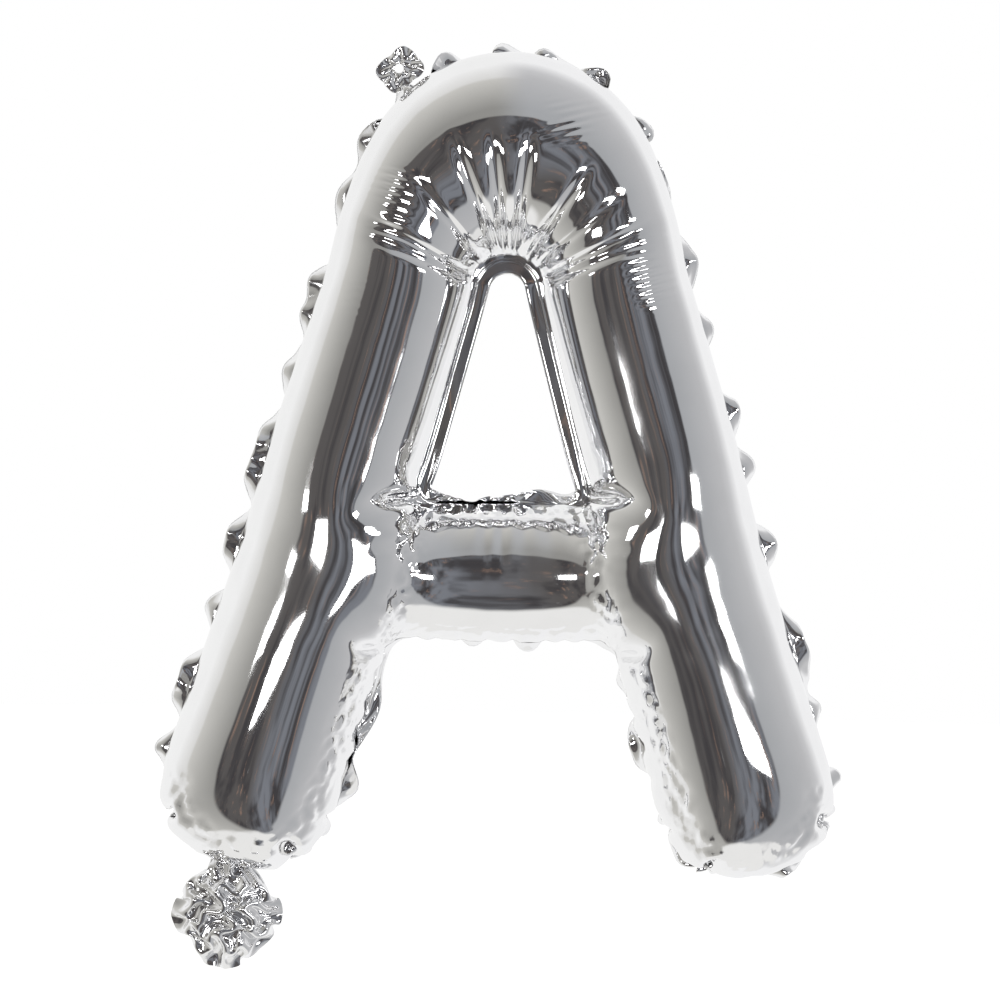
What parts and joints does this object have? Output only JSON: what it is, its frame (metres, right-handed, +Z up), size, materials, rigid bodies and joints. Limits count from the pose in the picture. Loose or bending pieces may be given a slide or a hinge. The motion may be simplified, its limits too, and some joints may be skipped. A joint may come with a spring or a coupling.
{
  "type": "letter foil balloon",
  "caption": "Air-filled mirror-silver foil balloon in the shape of a capital letter A, with sealed seams, a filling tail and a hanging tab.",
  "frame": {"origin": "centre of the hanging tab's hole, half way between the two foil panels", "axes": "+Z up the letter, from its feet to its arch; +X to the right as the letter is read; the front faces -Y"},
  "size_m": [0.296, 0.083, 0.3949],
  "materials": {
    "front_foil": "mirror-silver metallised film, front panel",
    "back_foil": "mirror-silver metallised film, back panel",
    "outer_seam_foil": "heat-sealed double film, slightly duller",
    "counter_seam_foil": "heat-sealed double film, taut and flat",
    "tail_front_foil": "crumpled metallised film",
    "tail_back_foil": "crumpled metallised film",
    "tab_foil": "crumpled double film"
  },
  "bodies": {
    "root": {"front_panel": "front_foil", "back_panel": "back_foil", "outer_seam": "outer_seam_foil", "counter_seam": "counter_seam_foil", "tail_front": "tail_front_foil", "tail_back": "tail_back_foil", "hanging_tab": "tab_foil"}
  },
  "joints": []
}
